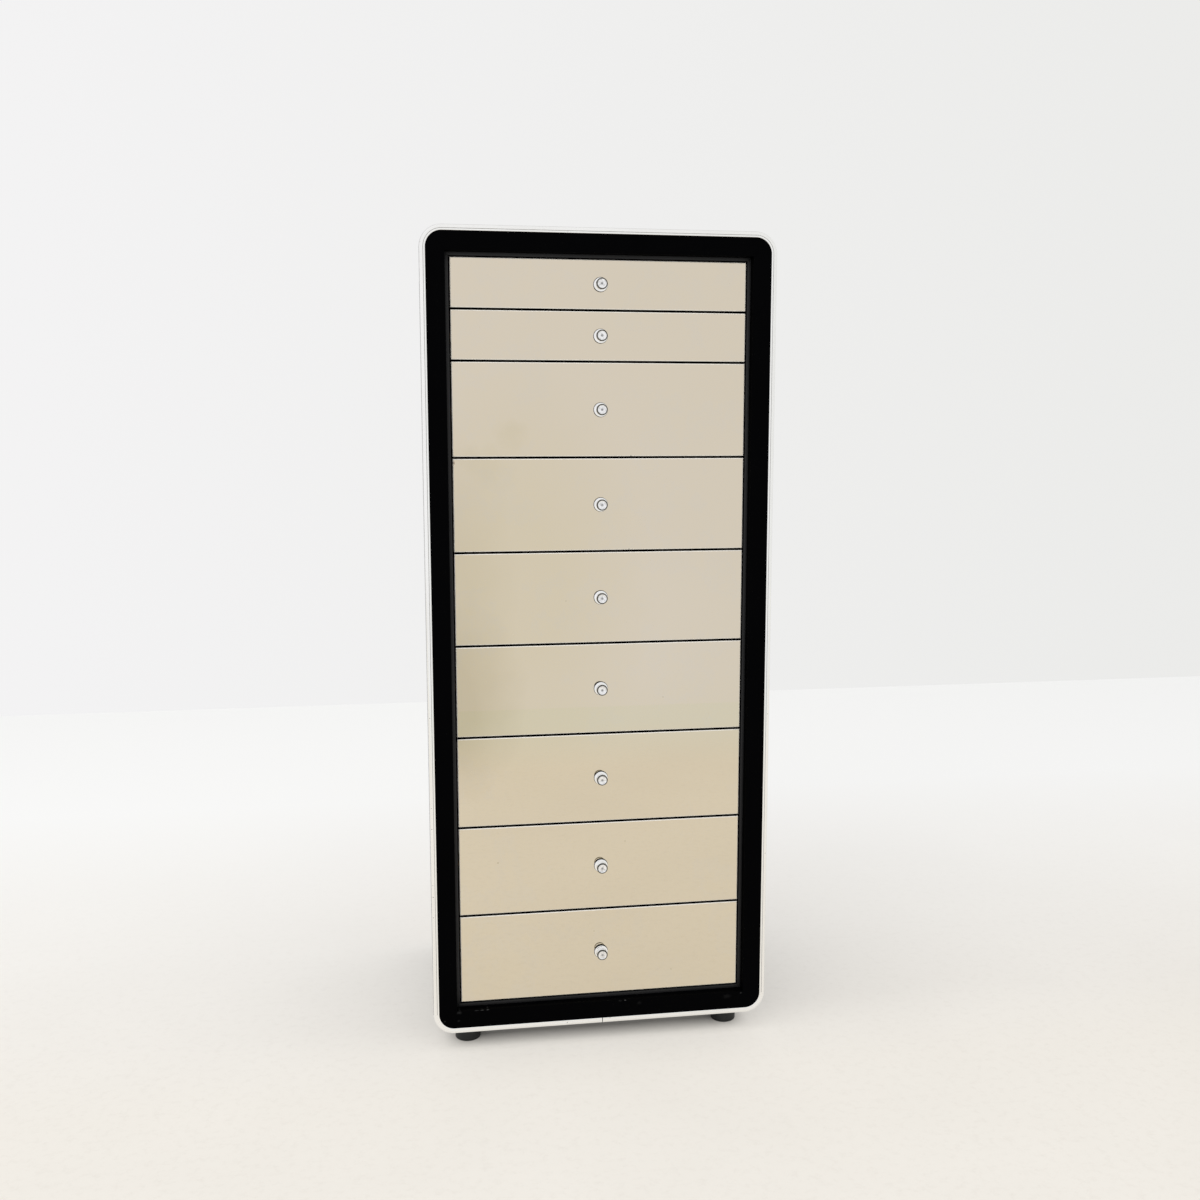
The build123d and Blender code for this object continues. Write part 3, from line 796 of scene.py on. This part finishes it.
def buildRim(shape):
    low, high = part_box("front_frame")
    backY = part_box("rim_trim")[1].y
    gap = shape["seam"] / 2 * mm
    corners = [
        (gap, low.z), (high.x, low.z), (high.x, high.z), (low.x, high.z), (low.x, low.z), (-gap, low.z)]
    path = lineMesh("rimPath", [(x, z, 0) for x, z in corners], False)
    width, depth, bead = shape["width"], shape["depth"], shape["beadWidth"]
    outline = rounded([
        (0, 0, 0), (width, 0, shape["backRound"]), (width, depth, shape["outerRound"]),
        (bead + shape["grooveWidth"], depth, shape["grooveRound"]),
        (bead + shape["grooveWidth"] / 2, depth - shape["grooveDepth"], shape["grooveFloorRound"]),
        (bead, depth, shape["beadRound"]), (0, depth, shape["innerRound"]),
        (0, shape["tongueFront"], 0), (-shape["tongueReach"], shape["tongueFront"], 0),
        (-shape["tongueReach"], shape["tongueBack"], 0), (0, shape["tongueBack"], 0)], shape["roundSteps"])
    section = helper(lineMesh("rimOutline", [(x * mm, -y * mm, 0) for x, y in outline], True))
    values = {
        "Outline": section, "Corner radius": shape["cornerRadius"] * mm,
        "Corner steps": shape["cornerSteps"], "Finish": rimPolish}
    mesh = grown(bandAlongPath, path, values)
    bpy.data.objects.remove(section)
    mesh.transform(Matrix.Translation((0, backY, 0)) @ Matrix.Rotation(radians(90), 4, "X"))
    outward(mesh)
    shade(mesh, 30)

    middle, radius = (low + high) / 2, shape["cornerRadius"] * mm
    straight = [(high.x - low.x) / 2 - radius, (high.z - low.z) / 2 - radius]

    def rimZone(centre, normal):
        # the groove and the outer edge are painted grey higher up: dirt in the groove, and painted reflection
        # lines along both; the two cut ends are painted black as the shade inside the seam
        offsets = (centre.x - middle.x, centre.z - middle.z)
        past = [max(abs(offset) - half, 0) for offset, half in zip(offsets, straight)]
        fromFrame = ((past[0] ** 2 + past[1] ** 2) ** 0.5 - radius) / mm
        if abs(centre.x) < gap * 1.5 and abs(normal.x) > backFace:
            return 2
        inGroove = bead < fromFrame < bead + shape["grooveWidth"] and centre.y < low.y
        atEdge = fromFrame > width - shape["paintedEdgeWidth"]
        return 1 if centre.z > shape["paintedLinesFrom"] and (inGroove or atEdge) else 0

    paintFaces(mesh, rimZone)
    addPiece("rim_band", mesh, "case", [rimPolish, grooveGrey, boardPaint], ["rim_trim"])


buildRim(rimShape)
print("rim ready")


# The case, its frame and its strips
# how wide each kind of edge is rounded, in millimetres
edgeRounding = {
    "case": 0.5, "frame": 0.4, "strip": 0.35, "board": 0.4, "wood": 0.8, "sheet": 0.25, "runner": 0.7,
    "pane": 0.12}
thinShortest = 0.02  # metres: shorter edges of the panes and of the back sheet stay sharp


def buildCase():
    def rearEdge(centre, normal):
        return 1 if normal.y > backFace else 0

    for node, name in (("left_side", "left_side_board"), ("right_side", "right_side_board"),
                       ("top_panel", "top_board"), ("base_panel", "base_board"),
                       ("corner_posts", "rounded_corners")):
        mesh = softened(node, edgeRounding["case"] * mm)
        paintFaces(mesh, rearEdge)
        addPiece(name, mesh, "case", [caseLaminate, chipboard], [node])
    mesh = softened("front_frame", edgeRounding["frame"] * mm)
    addPiece("black_frame", mesh, "case", [frameLacquer], ["front_frame"])
    mesh = softened("lip_frame", edgeRounding["strip"] * mm)
    addPiece("grey_strips", mesh, "case", [stripGrey], ["lip_frame"])
    mesh = softened("back_panel", edgeRounding["sheet"] * mm, thinShortest)
    addPiece("back_sheet", mesh, "case", [hardboard], ["back_panel"])
    for side in ("left", "right"):
        mesh = softened("runners_" + side, edgeRounding["runner"] * mm)
        addPiece(f"{side}_runner_rails", mesh, "case", [sideWood], ["runners_" + side])


buildCase()
print("case ready")


# Feet and screws
# a foot in millimetres; a screw's slot as shares of its head's radius, its head's edge in millimetres
footShape = {
    "radius": 19.0, "height": 35.0, "well": 8.0, "wellDepth": 12.0, "round": 2.4,
    "groove": 24.0, "grooveWidth": 1.2, "grooveDepth": 0.7, "steps": 56}
screwShape = {
    "slotWidth": 0.34, "slotLength": 0.62, "slotDepth": 0.5, "taper": 0.6, "steps": 32, "headAngle": 82,
    "headEdge": 0.15}


def footForm(shape):
    form = bmesh.new()
    r, h, g = shape["radius"], shape["height"], shape["groove"]
    wide, deep = shape["grooveWidth"], shape["grooveDepth"]
    turned(form, rounded([
        (0, shape["wellDepth"], 0), (shape["well"], shape["wellDepth"], 0.4), (shape["well"], 0, 0.5),
        (r, 0, shape["round"]),
        (r, g - wide, 0.3), (r - deep, g, 0.2), (r, g + wide, 0.3), (r, h, 0.4), (0, h, 0)]), shape["steps"])
    return meshFrom(form, "footForm")


def crossScrew(name, profile, shape):
    # profile runs from the edge of the flat top down to the point; the top gets a cross recess
    form = bmesh.new()
    rings = turned(form, profile, shape["steps"])
    top = profile[0]
    half, reach = top[0] * shape["slotWidth"] / 2, top[0] * shape["slotLength"]
    cross = [(reach, -half), (reach, half), (half, half), (half, reach), (-half, reach), (-half, half),
             (-reach, half), (-reach, -half), (-half, -half), (-half, -reach), (half, -reach), (half, -half)]
    upper = [form.verts.new((x * mm, y * mm, top[1] * mm)) for x, y in cross]
    depth, taper = top[0] * shape["slotDepth"], shape["taper"]
    lower = [form.verts.new((x * taper * mm, y * taper * mm, (top[1] - depth) * mm)) for x, y in cross]
    for number in range(len(cross)):
        after = (number + 1) % len(cross)
        form.faces.new((upper[number], upper[after], lower[after], lower[number]))
    form.faces.new(lower)
    loop = [form.edges.get((upper[i], upper[(i + 1) % len(upper)])) for i in range(len(upper))]
    rim = [form.edges.get((rings[0][i], rings[0][(i + 1) % len(rings[0])])) for i in range(len(rings[0]))]
    bmesh.ops.triangle_fill(form, use_beauty=True, edges=loop + rim)
    return form


def woodScrew(node, shape):
    # sized from one of the node's own screws
    low, high = islands(node)[0]
    measures = sorted((high - low) / mm)
    head, length = measures[0] / 2, measures[2]
    shank = head / 2
    coneDepth = (head - shank) / tan(radians(shape["headAngle"] / 2))
    edge = shape["headEdge"]
    profile = [
        (head - edge, 0), (head, -edge), (shank, -coneDepth), (shank, 2 * shank - length), (0, -length)]
    return meshFrom(crossScrew("woodScrew", profile, shape), node + "_form", sharpAngle=30)


def buildFeetAndScrews():
    feet = [
        (Vector(((low.x + high.x) / 2, (low.y + high.y) / 2, low.z)), (0, 0, 1))
        for low, high in islands("feet")
    ]
    mesh = placedForms(footForm(footShape), feet, 0.0, 1, footPlastic)
    addPiece("round_feet", mesh, "case", [footPlastic], ["feet"])
    for node, name, side in (("back_screws", "back_screw_set", "y"), ("foot_screws", "foot_screw_set", "z"),
                             ("runner_screws", "runner_screw_set", "x")):
        places = []
        for low, high in islands(node):
            middle = (low + high) / 2
            if side == "y":
                places.append((Vector((middle.x, high.y, middle.z)), (0, 1, 0)))
            elif side == "z":
                places.append((Vector((middle.x, middle.y, low.z)), (0, 0, -1)))
            else:
                head = high.x if middle.x < 0 else low.x
                places.append((Vector((head, middle.y, middle.z)), (1 if middle.x < 0 else -1, 0, 0)))
        mesh = placedForms(woodScrew(node, screwShape), places, 2 * pi, 7, zinc)
        addPiece(name, mesh, "case", [zinc], [node])


buildFeetAndScrews()
print("feet and screws ready")


# The drawers
knobShape = {
    # millimetres: radius, distance ahead of the mirror, rounding
    "outline": [
        (0, 0, 0), (10.35, 0, 0.05), (10.35, 0.3, 0.1), (10.0, 0.4, 0.05), (10.0, 2.8, 0.4),
        (9.3, 3.4, 0.4), (7.7, 3.6, 0.5), (6.6, 4.7, 0.7), (6.5, 11.9, 0.7), (7.8, 12.9, 0.4),
        (8.0, 14.0, 0.6), (7.5, 15.2, 0.6), (6.4, 15.6, 0.25),
        (5.9, 15.2, 0.4), (4.0, 14.8, 0.8), (1.1, 14.7, 0.25), (0.8, 14.1, 0.2), (0, 13.8, 0)],
    "steps": 72,
    "darkFrom": 6.2,
    "darkAhead": 12.6,
    "collarEdge": 9.75,
}
panHead = {
    "radius": 4.5, "height": 2.6, "round": 1.1, "shoulderDrop": 0.2, "shoulderRound": 0.9, "footRound": 0.2,
    "shank": 2.0, "length": 8}
# metres: faces this close to a drawer box's outer face belong to its sides, which are thinner
sideWithin = 0.015
# how squarely ahead the mirror and the ground bevel look; the rest of the pane is painted near black, as
# painted shade in the gaps between the fronts
paneFront, paneBevel = 0.98, 0.3


def buildDrawer(number):
    node, body = f"drawer_{number}_", f"drawer_{number}"
    pane = softened(node + "mirror", edgeRounding["pane"] * mm, thinShortest)
    shade(pane, 5)
    paintFaces(pane, lambda centre, normal: 0 if normal.y < -paneFront else 1 if normal.y < -paneBevel else 2)
    finishes = [mirrorGlass, paneEdge, edgePaint]
    addPiece(node + "pane", pane, body, finishes, [node + "mirror"])

    board = softened(node + "front", edgeRounding["board"] * mm)
    paintFaces(board, lambda centre, normal: 1 if normal.y > backFace else 0)
    addPiece(node + "board", board, body, [boardPaint, foil], [node + "front"])

    low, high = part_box(node + "box")
    box = softened(node + "box", edgeRounding["wood"] * mm)
    sideFrom = high.x - sideWithin
    paintFaces(box, lambda centre, normal: 0 if abs(centre.x) > sideFrom else 1)
    addPiece(node + "sides_and_back", box, body, [sideWood, backWood], [node + "box"])

    sheet = softened(node + "bottom", edgeRounding["sheet"] * mm)
    paintFaces(sheet, lambda centre, normal: 0 if normal.z > backFace else 1)
    addPiece(node + "base_sheet", sheet, body, [foil, hardboard], [node + "bottom"])

    low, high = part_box(node + "knob")
    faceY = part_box(node + "mirror")[0].y
    middle = Vector(((low.x + high.x) / 2, faceY, (low.z + high.z) / 2))
    form = bmesh.new()
    turned(form, rounded(knobShape["outline"], 5), knobShape["steps"])
    knob = meshFrom(form, node + "pull", middle, (0, -1, 0), 28)

    def knobZone(centre, normal):
        away = ((centre.x - middle.x) ** 2 + (centre.z - middle.z) ** 2) ** 0.5 / mm
        ahead = (faceY - centre.y) / mm
        # the collar's wall gets the painted shade, the tip's outer rounding the painted dark reflection, and
        # the dish its painted shading
        if away > knobShape["collarEdge"]:
            return 3
        if ahead < knobShape["darkAhead"]:
            return 0
        return 1 if away > knobShape["darkFrom"] else 2

    paintFaces(knob, knobZone)
    fromAxis = knob.attributes.new("away", "FLOAT", "POINT")
    fromAxis.data.foreach_set("value", [
        Vector((vertex.co.x - middle.x, vertex.co.z - middle.z)).length / mm for vertex in knob.vertices])
    finishes = [chrome, dimChrome, dishChrome, collarWall]
    addPiece(node + "pull", knob, body, finishes, [node + "knob"])

    r, h = panHead["radius"], panHead["height"]
    profile = rounded([
        (r - panHead["round"], h, 0), (r, h - panHead["shoulderDrop"], panHead["shoulderRound"]),
        (r, 0, panHead["footRound"]), (panHead["shank"], 0, 0), (0, -panHead["length"], 0)])
    screw = crossScrew("panScrew", [tuple(point) for point in profile], screwShape)
    seat = Vector((middle.x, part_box(node + "front")[1].y, middle.z))
    screwMesh = meshFrom(screw, node + "pull_screw", seat, (0, 1, 0), 30)
    addPiece(node + "pull_screw", screwMesh, body, [zinc], ())


for number in drawerNumbers:
    buildDrawer(number)
print("drawers ready")
